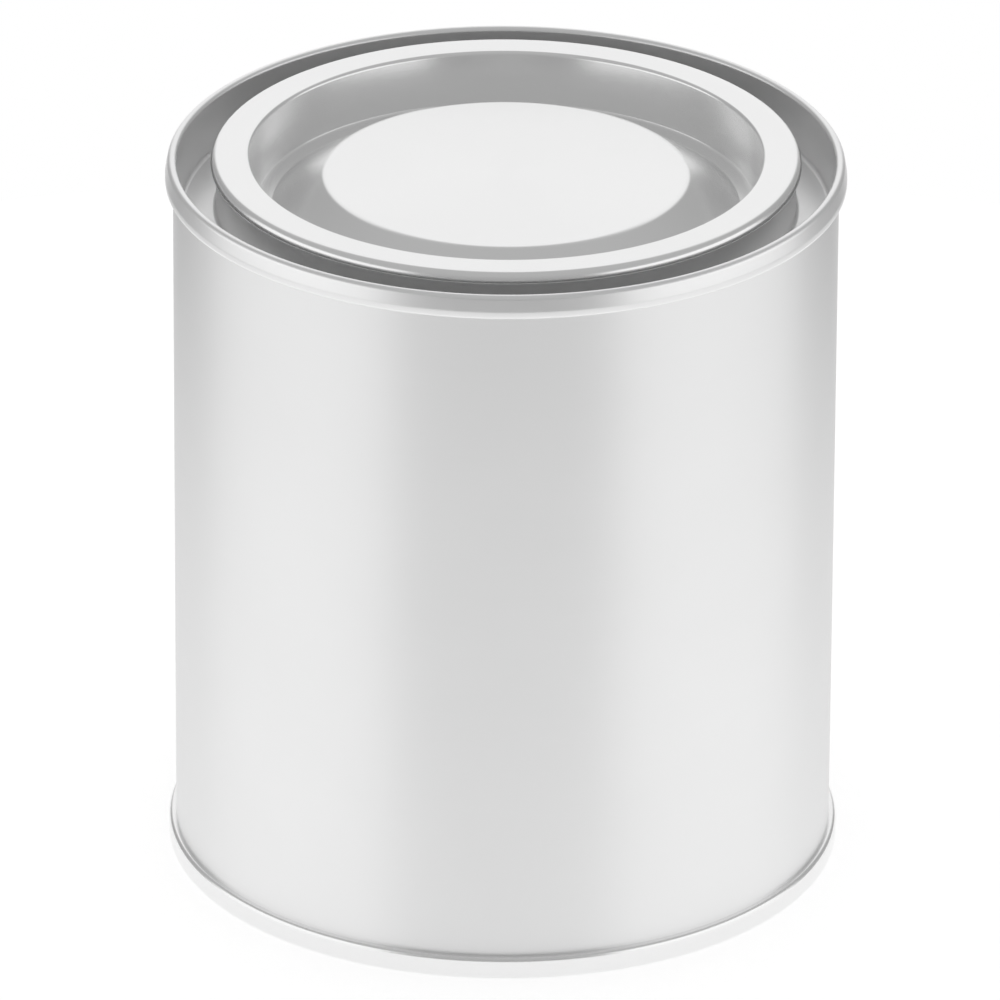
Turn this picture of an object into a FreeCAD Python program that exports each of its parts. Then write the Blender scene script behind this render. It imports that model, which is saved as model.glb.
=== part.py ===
import FreeCAD, Part
import math
import os
import Sketcher

# A round lever-lid tin of the 250 ml class in bare tinplate, shut.
# Millimetres, +Z up, the origin at the middle of the surface that the tin stands on.
#
# Every piece is a turned form: one closed profile revolved about Z.  A profile is a list of
# corners (radius, height, bend).  Each corner is held in its sketch by expressions on the
# sheet of sizes, and pieces that seat on each other share the same expressions.

doc = FreeCAD.newDocument("LeverLidTin")

sheet = doc.addObject("Spreadsheet::Sheet", "Sizes")
sizes = [
    ("overallHeight", 81.9),      # floor to the lid's flat brim, the highest part
    ("bodyDiameter", 72.5),       # outside of the side wall
    ("tinplate", 0.2),            # thickness of the metal
    ("seamHeight", 2.6),          # height of both double seams
    ("crownOuterBend", 0.8),      # full outer bend over the crown of a double seam
    ("crownInnerBend", 0.25),     # tight bend from that crown into the chuck wall
    ("seamFoot", 0.35),           # bend at the edge where a seam meets the wall
    ("topSeamProud", 0.85),       # how far the upper seam stands out from the wall
    ("bottomSeamProud", 0.8),     # how far the lower seam stands out from the wall
    ("rimBelowLid", 0.5),         # the lid's flat brim down to the crown of the upper seam
    ("ringDepth", 5.9),           # crown of the upper seam down to the floor of the ring
    ("ringTaper", 0.45),          # how far the ring's outer wall leans in on its way down
    ("ringBend", 0.45),           # bends at both sides of that floor
    ("leverGroove", 3.85),        # width of that floor, where a lever goes in under the lid
    ("beadWidth", 3.37),          # raised bead round the mouth, from the groove to the throat
    ("beadBend", 0.6),            # bends over that bead
    ("lidOverhang", 0.6),         # how far the lid's curled edge stands out over the groove
    ("edgeBend", 0.9),            # bend from the brim into the curled edge
    ("edgeStraight", 0.05),       # straight of the curled edge between its two bends
    ("hemBend", 0.3),             # bend at the foot of the curled edge
    ("hemPlay", 0.1),             # clearance between the turned-in hem and the bead
    ("mouthBend", 0.45),          # bend between the brim and the plug
    ("plugDepth", 5.9),           # brim down to the ledge at the foot of the plug
    ("plugTaper", 0.85),          # how far the plug's wall leans in on its way down
    ("plugPlay", 0.03),           # clearance between the plug and the throat of the ring
    ("throatRise", 0.7),          # how far above the foot of the plug the throat ends
    ("ledgeWidth", 1.65),         # narrow ledge inside the foot of the plug
    ("ledgeBend", 0.3),           # bends at both sides of that ledge
    ("ledgeDrop", 0.25),          # fall of the ledge towards the middle of the lid
    ("slopeWidth", 5.7),          # slope from the ledge up to the middle panel of the lid
    ("panelDepth", 2.35),         # brim down to that panel
    ("panelBend", 1.4),           # soft shoulder round the panel
    ("footRecess", 3.9),          # floor up to the countersink of the bottom end
    ("footTaper", 0.35),          # how far the bottom end's wall leans in on its way up
    ("footBend", 0.5),            # bend between that wall and the countersink
    ("footGroove", 3.4),          # width of the countersink round the bottom panel
    ("footStep", 0.8),            # how far the bottom panel stands below the countersink
    ("weldWidth", 0.9),           # lap of the welded side seam, at the back
    ("weldProud", 0.09),          # how far that lap stands out from the wall
]
for row, (alias, value) in enumerate(sizes, start=1):
    sheet.set("A%d" % row, alias)
    sheet.set("B%d" % row, str(value))
    sheet.setAlias("B%d" % row, alias)
doc.recompute()


def size(text):
    """Write an expression with each alias in it turned into a reference to its cell."""
    words = text.replace("(", "( ").replace(")", " )").split()
    return "(" + " ".join("Sizes." + word if word.isidentifier() else word for word in words) + ")"


def plus(first, second):
    return "(%s + %s)" % (first, second)


def minus(first, second):
    return "(%s - %s)" % (first, second)


def onWall(startR, startZ, slope, height):
    """Radius, at a height, of a wall that leaves a start point and leans by slope."""
    return "(%s + %s * (%s - %s))" % (startR, slope, height, startZ)


# The side wall and the two seams.
plate = size("tinplate")
wallR = size("bodyDiameter / 2")
chuckR = size("bodyDiameter / 2 - 2 * tinplate")
lowerSeamZ = size("seamHeight")
upperSeamZ = size("overallHeight - rimBelowLid - seamHeight")
rimZ = size("overallHeight - rimBelowLid")

# The bottom end, seen from below, and its upper side where the name starts with "over".
footR = size("bodyDiameter / 2 - 2 * tinplate - footTaper")
footZ = size("footRecess")
stepR = size("bodyDiameter / 2 - 2 * tinplate - footTaper - footGroove")
footPanelR = size("bodyDiameter / 2 - 2 * tinplate - footTaper - footGroove - footStep")
footPanelZ = size("footRecess - footStep")
overFootR = plus(footR, plate)
overFootZ = plus(footZ, plate)
overPanelZ = plus(footPanelZ, plate)
footOuterR = onWall(plus(chuckR, plate), "0", size("-1 * footTaper / footRecess"), lowerSeamZ)

# The ring, and its hidden side where the name starts with "under".
floorR = size("bodyDiameter / 2 - 2 * tinplate - ringTaper")
floorZ = size("overallHeight - rimBelowLid - ringDepth")
beadR = size("bodyDiameter / 2 - 2 * tinplate - ringTaper - leverGroove")
beadZ = size("overallHeight - tinplate")
underFloorR = plus(floorR, plate)
underFloorZ = minus(floorZ, plate)
underBeadR = minus(beadR, plate)
underBeadZ = minus(beadZ, plate)
underBeadBend = size("beadBend - tinplate")
ringOuterR = onWall(plus(chuckR, plate), rimZ, size("ringTaper / ringDepth"), upperSeamZ)

# The throat of the ring leans as the plug does, a clearance outside it.
plugLean = size("plugTaper / plugDepth")
throatR = minus(beadR, size("beadWidth"))
throatZ = size("overallHeight - plugDepth + throatRise")
throatFootR = onWall(throatR, beadZ, plugLean, throatZ)
plugR = minus(throatR, size("plugPlay"))

# The lid, and its hidden side where the name starts with "under".
lidR = plus(beadR, size("lidOverhang"))
brimZ = size("overallHeight")
hemR = plus(beadR, size("hemPlay"))
hemZ = minus(brimZ, size("edgeBend + edgeStraight + hemBend"))
mouthR = minus(plugR, plate)
plugFootR = minus(mouthR, size("plugTaper"))
plugFootZ = minus(brimZ, size("plugDepth"))
ledgeR = minus(plugFootR, size("ledgeWidth"))
ledgeZ = minus(plugFootZ, size("ledgeDrop"))
panelR = minus(ledgeR, size("slopeWidth"))
panelZ = minus(brimZ, size("panelDepth"))
underPlugFootR = plus(plugFootR, plate)
underPlugFootZ = minus(plugFootZ, plate)
underLedgeZ = minus(ledgeZ, plate)
underPanelZ = minus(panelZ, plate)
underPanelBend = size("panelBend - tinplate")

# The body is solid up to a level that clears the hidden sides of the ring and the lid.
fillZ = "min(%s; %s)" % (underFloorZ, underLedgeZ)


def worth(expression):
    return float(sheet.evalExpression(expression))


def addSketch(body, name, role):
    """Add a sketch on one of the body's own origin planes."""
    sketch = body.newObject("Sketcher::SketchObject", name)
    plane = [feature for feature in body.Origin.OriginFeatures if feature.Role == role][0]
    sketch.AttachmentSupport = [(plane, "")]
    sketch.MapMode = "FlatFace"
    return sketch


def addProfile(body, name, corners):
    """Draw a closed profile of straight runs, with an arc at each corner that has a bend.

    A bent corner keeps a construction point where its two runs would meet.
    """
    places = [FreeCAD.Vector(worth(r), worth(z), 0) for r, z, bend in corners]
    count = len(corners)
    runEnds, runStarts, arcs = [], [], []
    for i, (r, z, bend) in enumerate(corners):
        here = places[i]
        if bend is None:
            runEnds.append(here)
            runStarts.append(here)
            arcs.append(None)
            continue
        back = (places[i - 1] - here).normalize()
        onward = (places[(i + 1) % count] - here).normalize()
        halfAngle = back.getAngle(onward) / 2
        toArc = worth(bend) / math.sin(halfAngle) - worth(bend)
        toTangent = worth(bend) / math.tan(halfAngle)
        runEnds.append(here + back * toTangent)
        runStarts.append(here + onward * toTangent)
        arcs.append(Part.Arc(runEnds[i], here + (back + onward).normalize() * toArc, runStarts[i]))

    shapes = [Part.LineSegment(runStarts[i], runEnds[(i + 1) % count]) for i in range(count)]
    marks, rules, bound = [], [], []
    for i, (r, z, bend) in enumerate(corners):
        before, after = (i - 1) % count, i
        if bend is None:
            corner = (after, 1)
            rules.append(Sketcher.Constraint("Coincident", before, 2, after, 1))
        else:
            arc, mark = len(shapes), len(shapes) + 1
            shapes += [arcs[i], Part.Point(places[i])]
            marks.append(mark)
            corner = (mark, 1)
            turnsLeft = (places[i] - runEnds[i]).cross(runStarts[i] - places[i]).z > 0
            first, last = (1, 2) if turnsLeft else (2, 1)
            rules.append(Sketcher.Constraint("Tangent", before, 2, arc, first))
            rules.append(Sketcher.Constraint("Tangent", arc, last, after, 1))
            rules.append(Sketcher.Constraint("PointOnObject", mark, 1, before))
            rules.append(Sketcher.Constraint("PointOnObject", mark, 1, after))
            bound.append((len(rules), bend))
            rules.append(Sketcher.Constraint("Radius", arc, worth(bend)))
        for kind, expression, axis in (("DistanceX", r, -2), ("DistanceY", z, -1)):
            if expression == "0":
                rules.append(Sketcher.Constraint("PointOnObject", *corner, axis))
            else:
                bound.append((len(rules), expression))
                rules.append(Sketcher.Constraint(kind, -1, 1, *corner, worth(expression)))

    sketch = addSketch(body, name, "XZ_Plane")
    sketch.addGeometry(shapes, False)
    for mark in marks:
        sketch.setConstruction(mark, True)
    sketch.addConstraint(rules)
    for index, expression in bound:
        sketch.setExpression("Constraints[%d]" % index, expression)
    return sketch


def addTurned(label, corners):
    """Make a piece by turning its profile right round Z."""
    piece = doc.addObject("PartDesign::Body", label)
    piece.Label = label
    piece.Placement = FreeCAD.Placement()
    profile = addProfile(piece, label + "_profile", corners)
    turned = piece.newObject("PartDesign::Revolution", label + "_turned")
    turned.Profile = profile
    turned.ReferenceAxis = (profile, ["V_Axis"])
    turned.Angle = 360
    doc.recompute()
    return piece


def makeBottomEnd():
    """A double seam, a wall up to the countersink, and a panel one step lower."""
    seamR = size("bodyDiameter / 2 + bottomSeamProud")
    return addTurned("bottom_end", [
        (seamR, lowerSeamZ, size("seamFoot")),
        (seamR, "0", size("crownOuterBend")),
        (chuckR, "0", size("crownInnerBend")),
        (footR, footZ, size("footBend")),
        (stepR, footZ, None),
        (footPanelR, footPanelZ, None),
        ("0", footPanelZ, None),
        ("0", overPanelZ, None),
        (footPanelR, overPanelZ, None),
        (stepR, overFootZ, None),
        (overFootR, overFootZ, size("footBend + tinplate")),
        (footOuterR, lowerSeamZ, None),
    ])


def makeRing():
    """A double seam, a wall down to the floor, a raised bead round the mouth, a throat."""
    seamR = size("bodyDiameter / 2 + topSeamProud")
    return addTurned("ring", [
        (seamR, upperSeamZ, size("seamFoot")),
        (seamR, rimZ, size("crownOuterBend")),
        (chuckR, rimZ, size("crownInnerBend")),
        (floorR, floorZ, size("ringBend")),
        (beadR, floorZ, size("ringBend")),
        (beadR, beadZ, size("beadBend")),
        (throatR, beadZ, size("beadBend")),
        (throatFootR, throatZ, None),
        (plus(throatFootR, plate), throatZ, None),
        (plus(throatR, plate), underBeadZ, underBeadBend),
        (underBeadR, underBeadZ, underBeadBend),
        (underBeadR, underFloorZ, size("ringBend + tinplate")),
        (underFloorR, underFloorZ, size("ringBend + tinplate")),
        (ringOuterR, upperSeamZ, None),
    ])


def makeLid():
    """A curled edge, a flat brim, the plug, a ledge, and a panel raised on a slope."""
    edgeInnerR = minus(lidR, plate)
    overHemZ = plus(hemZ, plate)
    return addTurned("lid", [
        (hemR, hemZ, None),
        (lidR, hemZ, size("hemBend")),
        (lidR, brimZ, size("edgeBend")),
        (mouthR, brimZ, size("mouthBend")),
        (plugFootR, plugFootZ, size("ledgeBend")),
        (ledgeR, ledgeZ, size("ledgeBend")),
        (panelR, panelZ, size("panelBend")),
        ("0", panelZ, None),
        ("0", underPanelZ, None),
        (panelR, underPanelZ, underPanelBend),
        (ledgeR, underLedgeZ, size("ledgeBend + tinplate")),
        (underPlugFootR, underPlugFootZ, size("ledgeBend + tinplate")),
        (plugR, beadZ, size("mouthBend - tinplate")),
        (edgeInnerR, beadZ, size("edgeBend - tinplate")),
        (edgeInnerR, overHemZ, size("hemBend - tinplate")),
        (hemR, overHemZ, None),
    ])


def makeBody():
    """The shut tin's body: its side wall, and all that the wall holds below the ring and lid."""
    piece = addTurned("body", [
        ("0", overPanelZ, None),
        (footPanelR, overPanelZ, None),
        (stepR, overFootZ, None),
        (overFootR, overFootZ, None),
        (footOuterR, lowerSeamZ, None),
        (wallR, lowerSeamZ, None),
        (wallR, upperSeamZ, None),
        (ringOuterR, upperSeamZ, None),
        (underFloorR, fillZ, None),
        ("0", fillZ, None),
    ])
    addWeld(piece)
    return piece


def addWeld(piece):
    """Add the lap of the side seam, from the lower double seam up to the upper one."""
    lap = addSketch(piece, "weld_profile", "XY_Plane")
    lap.setExpression(".AttachmentOffset.Base.z", lowerSeamZ)
    halfWidth = size("weldWidth / 2")
    innerY = size("bodyDiameter / 2 - tinplate")
    outerY = size("bodyDiameter / 2 + weldProud")
    left, right = -worth(halfWidth), worth(halfWidth)
    inner, outer = worth(innerY), worth(outerY)
    outline = [(left, inner), (right, inner), (right, outer), (left, outer)]
    points = [FreeCAD.Vector(x, y, 0) for x, y in outline]
    lap.addGeometry([Part.LineSegment(points[i], points[(i + 1) % 4]) for i in range(4)], False)
    lap.addConstraint([Sketcher.Constraint("Coincident", i, 2, (i + 1) % 4, 1) for i in range(4)])
    lap.addConstraint([Sketcher.Constraint("Vertical", i) for i in (1, 3)])
    lap.addConstraint(Sketcher.Constraint("Horizontal", 2))
    lap.addConstraint(Sketcher.Constraint("Symmetric", 0, 1, 0, 2, -2))
    for kind, point, expression in (
        ("DistanceX", (0, 2), halfWidth),
        ("DistanceY", (0, 1), innerY),
        ("DistanceY", (2, 1), outerY),
    ):
        index = lap.addConstraint(Sketcher.Constraint(kind, -1, 1, *point, worth(expression)))
        lap.setExpression("Constraints[%d]" % index, expression)
    weld = piece.newObject("PartDesign::Pad", "weld")
    weld.Profile = lap
    weld.setExpression("Length", minus(upperSeamZ, lowerSeamZ))
    doc.recompute()


pieces = [makeBody(), makeBottomEnd(), makeRing(), makeLid()]
doc.recompute()

for item in doc.Objects:
    if "Invalid" in item.State or "Error" in item.State:
        raise RuntimeError("%s is not sound: %s" % (item.Label, item.State))
for piece in pieces:
    if piece.Shape.isNull() or not piece.Shape.isValid():
        raise RuntimeError("%s has no sound shape" % piece.Label)

os.makedirs("parts", exist_ok=True)
for piece in pieces:
    piece.Shape.exportStep("parts/%s.step" % piece.Label)
    box = piece.Shape.optimalBoundingBox()
    print("%-11s %9.1f mm3  r %.2f  z %.2f to %.2f"
          % (piece.Label, piece.Shape.Volume, box.XMax, box.ZMin, box.ZMax))
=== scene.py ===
import math

import bmesh
import bpy
from mathutils import Matrix, Quaternion, Vector


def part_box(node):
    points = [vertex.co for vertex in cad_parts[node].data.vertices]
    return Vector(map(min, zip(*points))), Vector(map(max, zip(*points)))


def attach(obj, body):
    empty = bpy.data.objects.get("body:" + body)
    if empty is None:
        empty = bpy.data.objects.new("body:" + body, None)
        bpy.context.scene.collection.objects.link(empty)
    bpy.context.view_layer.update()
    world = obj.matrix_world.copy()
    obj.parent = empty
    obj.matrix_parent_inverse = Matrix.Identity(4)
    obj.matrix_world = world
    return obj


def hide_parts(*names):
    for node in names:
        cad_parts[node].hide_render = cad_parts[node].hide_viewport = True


# A shut lever-lid tin in bare tinplate, stood on a white table in a soft studio.
# Every pressed piece is a profile of corners (radius, height, bend) in millimetres, spun about Z.

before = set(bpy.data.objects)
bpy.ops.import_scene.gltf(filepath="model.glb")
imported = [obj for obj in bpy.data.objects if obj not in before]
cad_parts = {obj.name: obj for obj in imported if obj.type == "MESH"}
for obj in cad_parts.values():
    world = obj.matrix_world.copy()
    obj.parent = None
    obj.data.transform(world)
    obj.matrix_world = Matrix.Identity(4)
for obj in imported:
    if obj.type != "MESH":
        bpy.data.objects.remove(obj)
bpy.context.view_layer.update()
print("frame:", sorted(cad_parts))

mm = 0.001
plate = 0.2  # thickness of the sheet, mm
spinSteps = 288  # a multiple of four, so that each spun piece fills its CAD box
bendSteps = 8
mergeMm = 0.002
sharpDegrees = 40  # an edge that turns more than this is a true crease


def toLinear(hexColour):
    channels = [int(hexColour[i : i + 2], 16) / 255 for i in (1, 3, 5)]
    linear = [c / 12.92 if c <= 0.04045 else ((c + 0.055) / 1.055) ** 2.4 for c in channels]
    return (*linear, 1.0)


def addNode(tree, kind, inputs=None, **settings):
    node = tree.nodes.new(kind)
    for name, value in settings.items():
        setattr(node, name, value)
    for name, value in (inputs or {}).items():
        if isinstance(value, bpy.types.NodeSocket):
            tree.links.new(value, node.inputs[name])
        else:
            node.inputs[name].default_value = value
    return node


def newMaterial(name):
    material = bpy.data.materials.new(name)
    material.use_nodes = True
    material.node_tree.nodes.clear()
    return material, material.node_tree


# Steel sheet with a thin flow-melted coat of tin: a bright neutral metal that is never a mirror,
# because the coat keeps the fine lines of the steel rolls, with faint clouds where the tin flowed.

tinLook = {
    "tin": "#f1f1f1",
    "tinShade": "#eeeeee",
    "wallRoughness": 0.44,
    "wallGrain": 0.75,
    "wallBumpMm": 0.0004,
    "pressedRoughness": 0.25,
    "drawnRoughness": 0.36,
    "pressedGrain": 0.2,
    "pressedBumpMm": 0.0003,
    "roughnessSpread": 0.03,
    "rollLineMm": 0.16,
    "rollLengthMm": 16.667,
    "drawMarkMm": 1.1,
    "cloudMm": 14.0,
}


def makeTinplate(name, roughness, grain, marksMm, bumpMm):
    material, tree = newMaterial(name)
    place = addNode(tree, "ShaderNodeTexCoord").outputs["Object"]
    perMetre = [1 / (mark * mm) for mark in marksMm]
    stretched = addNode(tree, "ShaderNodeMapping", {"Vector": place, "Scale": perMetre})
    lines = addNode(
        tree,
        "ShaderNodeTexNoise",
        {"Vector": stretched.outputs["Vector"], "Scale": 1.0, "Detail": 3.0, "Roughness": 0.6},
    ).outputs["Fac"]
    clouds = addNode(
        tree,
        "ShaderNodeTexNoise",
        {"Vector": place, "Scale": 1 / (tinLook["cloudMm"] * mm), "Detail": 2.0},
    ).outputs["Fac"]
    colour = addNode(
        tree,
        "ShaderNodeMix",
        {"Factor": clouds, "A": toLinear(tinLook["tinShade"]), "B": toLinear(tinLook["tin"])},
        data_type="RGBA",
    )
    spread = addNode(
        tree,
        "ShaderNodeMapRange",
        {
            "Value": lines,
            "To Min": roughness - tinLook["roughnessSpread"],
            "To Max": roughness + tinLook["roughnessSpread"],
        },
    )
    bump = addNode(
        tree, "ShaderNodeBump", {"Height": lines, "Strength": 1.0, "Distance": bumpMm * mm}
    )
    metal = addNode(
        tree,
        "ShaderNodeBsdfPrincipled",
        {
            "Metallic": 1.0,
            "Roughness": spread.outputs["Result"],
            "Anisotropic": grain,
            "Anisotropic Rotation": 0.25,
            "Normal": bump.outputs["Normal"],
        },
    )
    tree.links.new(colour.outputs[2], metal.inputs["Base Color"])
    addNode(tree, "ShaderNodeOutputMaterial", {"Surface": metal.outputs["BSDF"]})
    return material


# Fine lines run round the wall, so its lights are drawn out up and down into tall soft bands.
rolledTinplate = makeTinplate(
    "rolled satin tinplate",
    tinLook["wallRoughness"],
    tinLook["wallGrain"],
    (tinLook["rollLengthMm"], tinLook["rollLengthMm"], tinLook["rollLineMm"]),
    tinLook["wallBumpMm"],
)

# The press has ironed the lid and the lower end smoother, so their bends carry narrow lights.
pressedTinplate = makeTinplate(
    "pressed tinplate",
    tinLook["pressedRoughness"],
    tinLook["pressedGrain"],
    (tinLook["drawMarkMm"],) * 3,
    tinLook["pressedBumpMm"],
)

# The ring is drawn deeper, which dulls the metal and softens the greys inside its groove.
drawnTinplate = makeTinplate(
    "drawn tinplate",
    tinLook["drawnRoughness"],
    tinLook["pressedGrain"],
    (tinLook["drawMarkMm"],) * 3,
    tinLook["pressedBumpMm"],
)
print("materials made")


def bendProfile(bm, corners):
    verts = [bm.verts.new((r * mm, 0, z * mm)) for r, z, bend in corners]
    onAxis = corners[0][0] == 0
    runs = len(corners) - 1 if onAxis else len(corners)
    for i in range(runs):
        bm.edges.new((verts[i], verts[(i + 1) % len(corners)]))
    for i, (r, z, bend) in enumerate(corners):
        if not bend:
            continue
        here = Vector((r, z))
        back = Vector(corners[i - 1][:2]) - here
        onward = Vector(corners[(i + 1) % len(corners)][:2]) - here
        tangent = bend / math.tan(back.angle(onward) / 2)
        bmesh.ops.bevel(
            bm,
            geom=[verts[i]],
            offset=tangent * mm,
            offset_type="OFFSET",
            affect="VERTICES",
            segments=bendSteps,
            profile=0.5,
            material=-1,
        )


def makeTurned(name, node, corners, material, addTo=None):
    bm = bmesh.new()
    bendProfile(bm, corners)
    bmesh.ops.spin(
        bm,
        geom=bm.verts[:] + bm.edges[:],
        cent=(0, 0, 0),
        axis=(0, 0, 1),
        angle=math.tau,
        steps=spinSteps,
        use_merge=True,
    )
    bmesh.ops.remove_doubles(bm, verts=bm.verts[:], dist=mergeMm * mm)
    bmesh.ops.recalc_face_normals(bm, faces=bm.faces[:])
    if addTo:
        addTo(bm)
    for face in bm.faces:
        face.smooth = True
    mesh = bpy.data.meshes.new(name)
    bm.to_mesh(mesh)
    bm.free()
    mesh.set_sharp_from_angle(angle=math.radians(sharpDegrees))
    mesh.materials.append(material)
    piece = bpy.data.objects.new(name, mesh)
    bpy.context.scene.collection.objects.link(piece)
    even = piece.modifiers.new("flats stay flat", "WEIGHTED_NORMAL")
    even.keep_sharp = True
    even.weight = 90
    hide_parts(node)
    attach(piece, "root")
    return piece


# Levels and radii that the pieces share, in millimetres, read from the CAD boxes.

bodyLow, bodyHigh = [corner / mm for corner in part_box("body")]
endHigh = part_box("bottom_end")[1] / mm
ringLow, ringHigh = [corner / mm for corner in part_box("ring")]
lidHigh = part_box("lid")[1] / mm

wallR = bodyHigh.x
chuckR = wallR - 2 * plate
seam = {
    "outerBend": 0.55,
    "innerBend": 0.45,
    "lean": 0.3,
    "upright": 0.9,
    "leanBend": 1.2,
    "upperFootBend": 0.35,
    "lowerFootBend": 0.55,
}
lap = {"width": 0.9, "proud": 0.09, "depth": 0.29, "edgeBend": 0.04, "edgeSteps": 3}
foot = {"taper": 0.35, "bend": 0.5, "groove": 3.4, "step": 0.8, "stepBend": 0.3}

footR = chuckR - foot["taper"]
footZ = endHigh.z - plate
stepR = footR - foot["groove"]
footPanelR = stepR - foot["step"]
footPanelZ = footZ - foot["step"]
footOuterR = chuckR + plate - foot["taper"] * bodyLow.z / footZ


def addWeldLap(bm):
    middle = Vector((0, wallR + lap["proud"] - lap["depth"] / 2, (bodyLow.z + bodyHigh.z) / 2))
    size = Vector((lap["width"], lap["depth"], bodyHigh.z - bodyLow.z)) * mm
    place = Matrix.Translation(middle * mm) @ Matrix.Diagonal((*size, 1))
    made = bmesh.ops.create_cube(bm, size=1, matrix=place)
    outer = [
        edge
        for edge in {edge for vert in made["verts"] for edge in vert.link_edges}
        if all(vert.co.y > wallR * mm for vert in edge.verts) and edge.calc_length() > size.z / 2
    ]
    bmesh.ops.bevel(
        bm,
        geom=outer,
        offset=lap["edgeBend"] * mm,
        offset_type="OFFSET",
        affect="EDGES",
        segments=lap["edgeSteps"],
        profile=0.5,
        material=-1,
    )


ring = {
    "depth": 5.9,
    "taper": 0.45,
    "floorBend": 0.45,
    "groove": 3.85,
    "bead": 3.37,
    "beadBend": 0.6,
    "throatRise": 0.7,
}
floorZ = ringLow.z + plate
crownZ = floorZ + ring["depth"]
floorR = chuckR - ring["taper"]
beadR = floorR - ring["groove"]
beadZ = ringHigh.z
throatR = beadR - ring["bead"]
ringOuterR = chuckR + plate - ring["taper"] * (crownZ - bodyHigh.z) / ring["depth"]

lid = {
    "edgeBend": 0.9,
    "hemBend": 0.3,
    "hemDrop": 1.25,
    "hemPlay": 0.1,
    "mouthBend": 0.45,
    "plugDepth": 5.9,
    "plugTaper": 0.85,
    "plugPlay": 0.03,
    "ledge": 1.65,
    "ledgeBend": 0.3,
    "ledgeDrop": 0.25,
    "slope": 5.7,
    "panelDepth": 2.35,
    "panelBend": 1.4,
}
brimZ = lidHigh.z
lidR = lidHigh.x
hemZ = brimZ - lid["hemDrop"]
hemR = beadR + lid["hemPlay"]
plugR = throatR - lid["plugPlay"]
mouthR = plugR - plate
plugFootR = mouthR - lid["plugTaper"]
plugFootZ = brimZ - lid["plugDepth"]
ledgeR = plugFootR - lid["ledge"]
ledgeZ = plugFootZ - lid["ledgeDrop"]
panelR = ledgeR - lid["slope"]
panelZ = brimZ - lid["panelDepth"]
throatZ = plugFootZ + ring["throatRise"]
throatFootR = throatR - lid["plugTaper"] * (beadZ - throatZ) / lid["plugDepth"]
fillZ = min(ringLow.z, ledgeZ - plate)


def makeSideWall():
    corners = [
        (0, footPanelZ + plate, 0),
        (footPanelR, footPanelZ + plate, 0),
        (stepR, endHigh.z, 0),
        (footR + plate, endHigh.z, 0),
        (footOuterR, bodyLow.z, 0),
        (wallR, bodyLow.z, 0),
        (wallR, bodyHigh.z, 0),
        (ringOuterR, bodyHigh.z, 0),
        (floorR + plate, fillZ, 0),
        (0, fillZ, 0),
    ]
    makeTurned("side_wall", "body", corners, rolledTinplate, addTo=addWeldLap)


def makeLowerEnd():
    seamR = endHigh.x
    corners = [
        (0, footPanelZ, 0),
        (footPanelR, footPanelZ, foot["stepBend"]),
        (stepR, footZ, foot["stepBend"]),
        (footR, footZ, foot["bend"]),
        (chuckR, 0, seam["innerBend"]),
        (seamR, 0, seam["outerBend"]),
        (seamR, bodyLow.z, seam["lowerFootBend"]),
        (footOuterR, bodyLow.z, 0),
        (footR + plate, endHigh.z, foot["bend"] + plate),
        (stepR, endHigh.z, 0),
        (footPanelR, footPanelZ + plate, 0),
        (0, footPanelZ + plate, 0),
    ]
    makeTurned("lower_end", "bottom_end", corners, pressedTinplate)


def makeLeverRing():
    seamR = ringHigh.x
    corners = [
        (seamR, bodyHigh.z, seam["upperFootBend"]),
        (seamR, bodyHigh.z + seam["upright"], seam["leanBend"]),
        (seamR - seam["lean"], crownZ, seam["outerBend"]),
        (chuckR, crownZ, seam["innerBend"]),
        (floorR, floorZ, ring["floorBend"]),
        (beadR, floorZ, ring["floorBend"]),
        (beadR, beadZ, ring["beadBend"]),
        (throatR, beadZ, ring["beadBend"]),
        (throatFootR, throatZ, 0),
        (throatFootR + plate, throatZ, 0),
        (throatR + plate, beadZ - plate, ring["beadBend"] - plate),
        (beadR - plate, beadZ - plate, ring["beadBend"] - plate),
        (beadR - plate, ringLow.z, ring["floorBend"] + plate),
        (floorR + plate, ringLow.z, ring["floorBend"] + plate),
        (ringOuterR, bodyHigh.z, 0),
    ]
    makeTurned("lever_ring", "ring", corners, drawnTinplate)


def makeLeverLid():
    corners = [
        (0, panelZ - plate, 0),
        (panelR, panelZ - plate, lid["panelBend"] - plate),
        (ledgeR, ledgeZ - plate, lid["ledgeBend"] + plate),
        (plugFootR + plate, plugFootZ - plate, lid["ledgeBend"] + plate),
        (plugR, beadZ, lid["mouthBend"] - plate),
        (lidR - plate, beadZ, lid["edgeBend"] - plate),
        (lidR - plate, hemZ + plate, lid["hemBend"] - plate),
        (hemR, hemZ + plate, 0),
        (hemR, hemZ, 0),
        (lidR, hemZ, lid["hemBend"]),
        (lidR, brimZ, lid["edgeBend"]),
        (mouthR, brimZ, lid["mouthBend"]),
        (plugFootR, plugFootZ, lid["ledgeBend"]),
        (ledgeR, ledgeZ, lid["ledgeBend"]),
        (panelR, panelZ, lid["panelBend"]),
        (0, panelZ, 0),
    ]
    makeTurned("lever_lid", "lid", corners, pressedTinplate)


makeSideWall()
makeLowerEnd()
makeLeverRing()
makeLeverLid()
print("pieces made")

# The studio: a small white table, a white sweep behind it, a low white panel at each side, and a
# dim room in front and overhead, which gives the bright metal its greys.  Distances in metres.

studio = {
    "roomLow": 0.4,
    "roomHigh": 0.5,
    "roomLowZ": 0.2,
    "roomHighZ": 0.9,
    "shadeLevel": 0.78,
    "sweepHalf": 0.36,
    "sweepTop": 0.72,
    "sweepSideFade": 0.05,
    "sweepTopFade": 0.06,
    "tableRadius": 0.22,
    "tableShift": -0.04,
    "tableOwn": 0.5,
    "tableTone": "#dddddd",
    "tableSides": 96,
    "panelLevel": 0.72,
    "panelAzimuth": 72,
    "panelDistance": 0.32,
    "panelWidth": 0.48,
    "panelHeight": 0.26,
}


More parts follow.
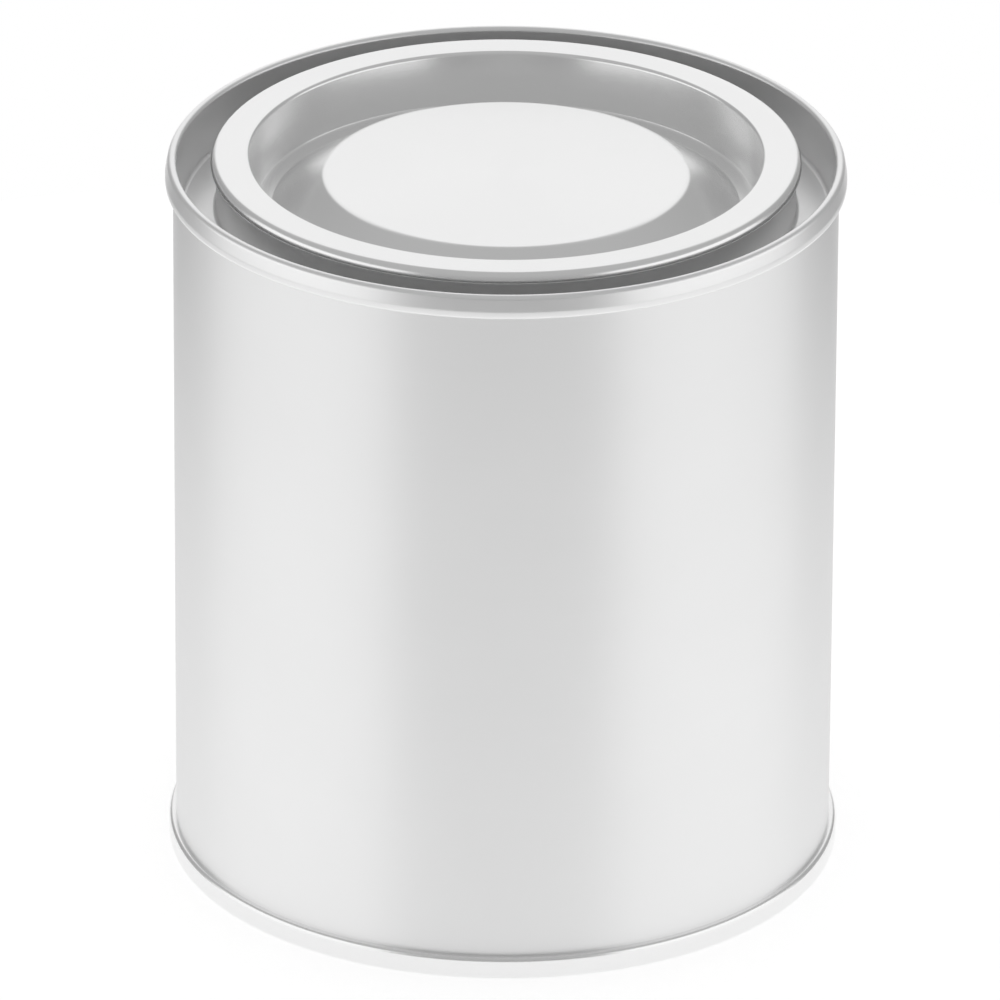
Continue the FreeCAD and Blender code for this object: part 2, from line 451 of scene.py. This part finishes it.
def makeTable():
    bm = bmesh.new()
    bmesh.ops.create_circle(
        bm, cap_ends=True, segments=studio["tableSides"], radius=studio["tableRadius"]
    )
    mesh = bpy.data.meshes.new("table")
    bm.to_mesh(mesh)
    bm.free()
    material, tree = newMaterial("white table")
    own = addNode(tree, "ShaderNodeEmission", {"Strength": studio["tableOwn"]})
    matt = addNode(tree, "ShaderNodeBsdfDiffuse", {"Color": toLinear(studio["tableTone"])})
    both = addNode(tree, "ShaderNodeAddShader")
    tree.links.new(own.outputs[0], both.inputs[0])
    tree.links.new(matt.outputs[0], both.inputs[1])
    addNode(tree, "ShaderNodeOutputMaterial", {"Surface": both.outputs[0]})
    mesh.materials.append(material)
    mesh.transform(Matrix.Translation((0, studio["tableShift"], 0)))
    table = bpy.data.objects.new("table", mesh)
    bpy.context.scene.collection.objects.link(table)


def makePanel(name, azimuth):
    width, height = studio["panelWidth"], studio["panelHeight"]
    lamp = bpy.data.lights.new(name, "AREA")
    lamp.shape = "RECTANGLE"
    lamp.size, lamp.size_y = width, height
    lamp.energy = studio["panelLevel"] * math.pi * width * height
    holder = bpy.data.objects.new(name, lamp)
    a = math.radians(azimuth)
    away = Vector((math.sin(a), -math.cos(a), 0))
    holder.location = away * studio["panelDistance"] + Vector((0, 0, height / 2))
    holder.rotation_euler = away.to_track_quat("Z", "Y").to_euler()
    holder.visible_camera = False
    holder.visible_diffuse = False
    bpy.context.scene.collection.objects.link(holder)


def addMath(tree, operation, *values):
    return addNode(
        tree, "ShaderNodeMath", dict(enumerate(values)), operation=operation
    ).outputs["Value"]


def addRange(tree, value, low, high, toLow=0.0, toHigh=1.0):
    reach = {"From Min": low, "From Max": high, "To Min": toLow, "To Max": toHigh}
    return addNode(tree, "ShaderNodeMapRange", {"Value": value, **reach}).outputs["Result"]


# The world is white to the camera, and also to what mirrors it where the sweep stands behind the
# tin.  Everywhere else the metal sees the dim room.  What is matt gets one even level.


def makeRoom():
    world = bpy.data.worlds.new("room")
    bpy.context.scene.world = world
    world.use_nodes = True
    tree = world.node_tree
    tree.nodes.clear()
    way = addNode(tree, "ShaderNodeTexCoord").outputs["Generated"]
    x, y, z = addNode(tree, "ShaderNodeSeparateXYZ", {"Vector": way}).outputs
    room = addRange(
        tree, z, studio["roomLowZ"], studio["roomHighZ"], studio["roomLow"], studio["roomHigh"]
    )
    aside = addMath(tree, "ABSOLUTE", x)
    half, sideFade = studio["sweepHalf"], studio["sweepSideFade"]
    top, topFade = studio["sweepTop"], studio["sweepTopFade"]
    sides = addRange(tree, aside, half + sideFade, half - sideFade)
    head = addRange(tree, z, top + topFade, top - topFade)
    rear = addMath(tree, "GREATER_THAN", y, 0.0)
    sweep = addMath(tree, "MULTIPLY", addMath(tree, "MULTIPLY", sides, head), rear)
    path = addNode(tree, "ShaderNodeLightPath").outputs
    mirrored = addMath(tree, "ADD", path["Is Glossy Ray"], path["Is Transmission Ray"])
    behind = addMath(tree, "MULTIPLY", mirrored, sweep)
    white = addMath(tree, "MAXIMUM", behind, path["Is Camera Ray"])
    matt = addRange(tree, path["Is Diffuse Ray"], 0.0, 1.0, room, studio["shadeLevel"])
    level = addRange(tree, white, 0.0, 1.0, matt, 1.0)
    sky = addNode(tree, "ShaderNodeBackground", {"Color": (1, 1, 1, 1), "Strength": level})
    addNode(tree, "ShaderNodeOutputWorld", {"Surface": sky.outputs[0]})


# The camera stands in front and a little above, with a very long lens.

view = {
    "elevation": 25.09,
    "distance": 1.492,
    "target": 0.0425,
    "aim": (-0.00047, -0.00085, 0.04068),
    "lens": 488.6,
    "roll": 0.32,
    "sensorMm": 36,
    "nearest": 0.01,
}


def makeCamera():
    camera = bpy.data.cameras.new("camera")
    camera.lens = view["lens"]
    camera.sensor_width = view["sensorMm"]
    camera.clip_start = view["nearest"]
    holder = bpy.data.objects.new("camera", camera)
    e = math.radians(view["elevation"])
    holder.location = Vector((0, -math.cos(e), math.sin(e))) * view["distance"]
    holder.location.z += view["target"]
    towards = Vector(view["aim"]) - holder.location
    lean = Quaternion((0, 0, 1), math.radians(view["roll"]))
    holder.rotation_euler = (towards.to_track_quat("-Z", "Y") @ lean).to_euler()
    bpy.context.scene.collection.objects.link(holder)
    bpy.context.scene.camera = holder


makeTable()
makeRoom()
makePanel("left panel", -studio["panelAzimuth"])
makePanel("right panel", studio["panelAzimuth"])
makeCamera()
bpy.context.scene.view_settings.view_transform = "Standard"
print("studio made")
